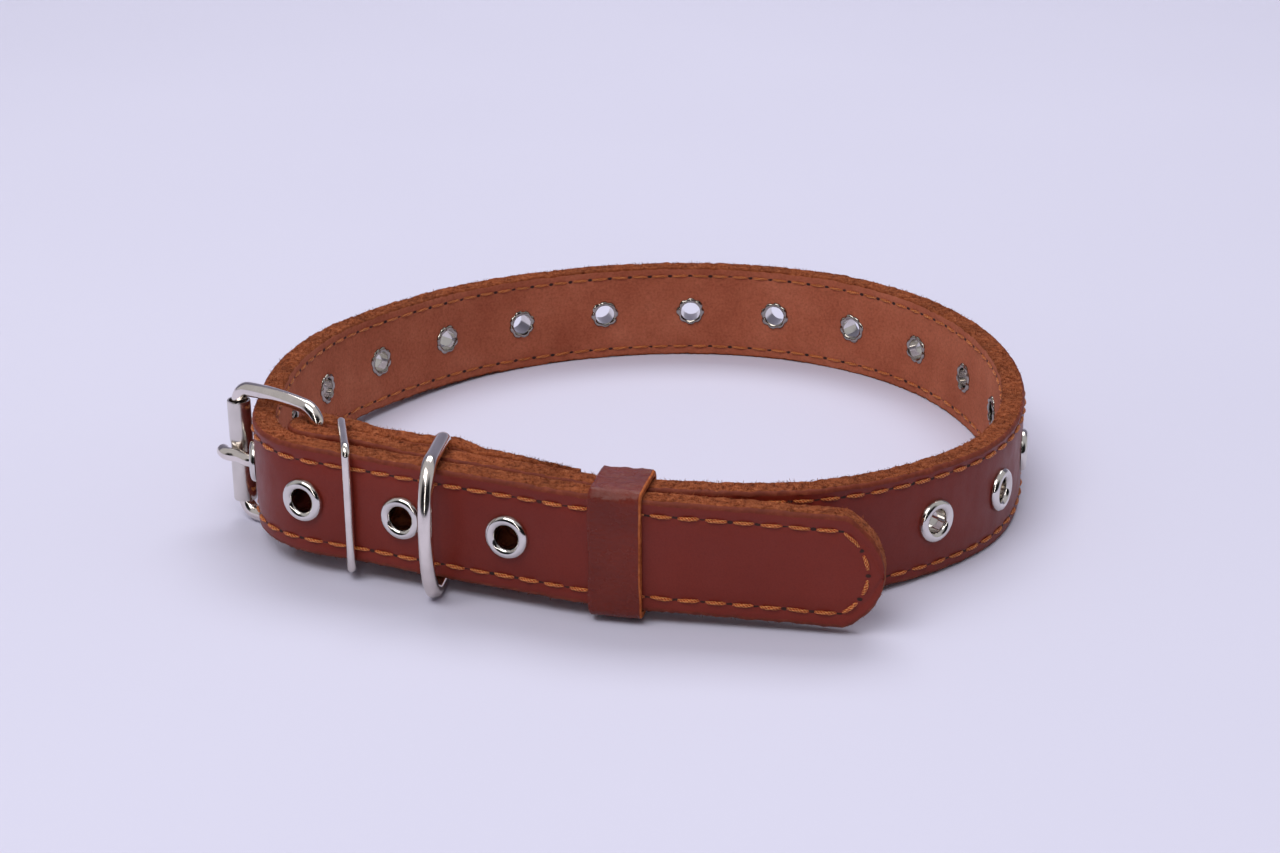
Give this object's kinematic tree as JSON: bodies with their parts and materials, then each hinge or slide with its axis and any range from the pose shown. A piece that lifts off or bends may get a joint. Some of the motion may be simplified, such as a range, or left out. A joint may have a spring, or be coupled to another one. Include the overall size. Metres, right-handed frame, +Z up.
{
  "type": "dog collar",
  "caption": "Fastened leather dog collar with a roller buckle, wire and leather keepers, a D-ring on a fold, eyelets all round and a rounded free tail.",
  "frame": {"origin": "on the surface that the collar lies on, under the middle of its outline", "axes": "+Z up along the neck hollow, +X towards the free tail's tip and away from the buckle, +Y away from the viewer, across the loop to the plain back"},
  "size_m": [0.1918, 0.1858, 0.0345],
  "materials": {
    "leather": "smooth red-brown grain outside, matte split leather inside, raw orange-brown edges",
    "keeper_leather": "thinner glossy red-brown leather",
    "nickel": "polished nickel plate on steel wire, rolled sheet and eyelets"
  },
  "bodies": {
    "collar": {"strap": "leather", "leather_keeper": "keeper_leather", "buckle_frame": "nickel", "roller": "nickel", "prong": "nickel", "wire_keeper": "nickel", "eyelet_01": "nickel", "eyelet_02": "nickel", "eyelet_03": "nickel", "eyelet_04": "nickel", "eyelet_05": "nickel", "eyelet_06": "nickel", "eyelet_07": "nickel", "eyelet_08": "nickel", "eyelet_09": "nickel", "eyelet_10": "nickel", "eyelet_11": "nickel", "eyelet_12": "nickel", "eyelet_13": "nickel", "eyelet_14": "nickel", "eyelet_15": "nickel", "eyelet_16": "nickel", "eyelet_17": "nickel", "eyelet_18": "nickel", "eyelet_19": "nickel"},
    "ring": {"d_ring": "nickel"}
  },
  "joints": [
    {"name": "ring_swing", "type": "hinge", "parent": "collar", "child": "ring", "pos_m": [-0.0405, -0.0551, 0.01665], "axis": [0, 0, 1], "range_deg": [-38, 8]}
  ]
}
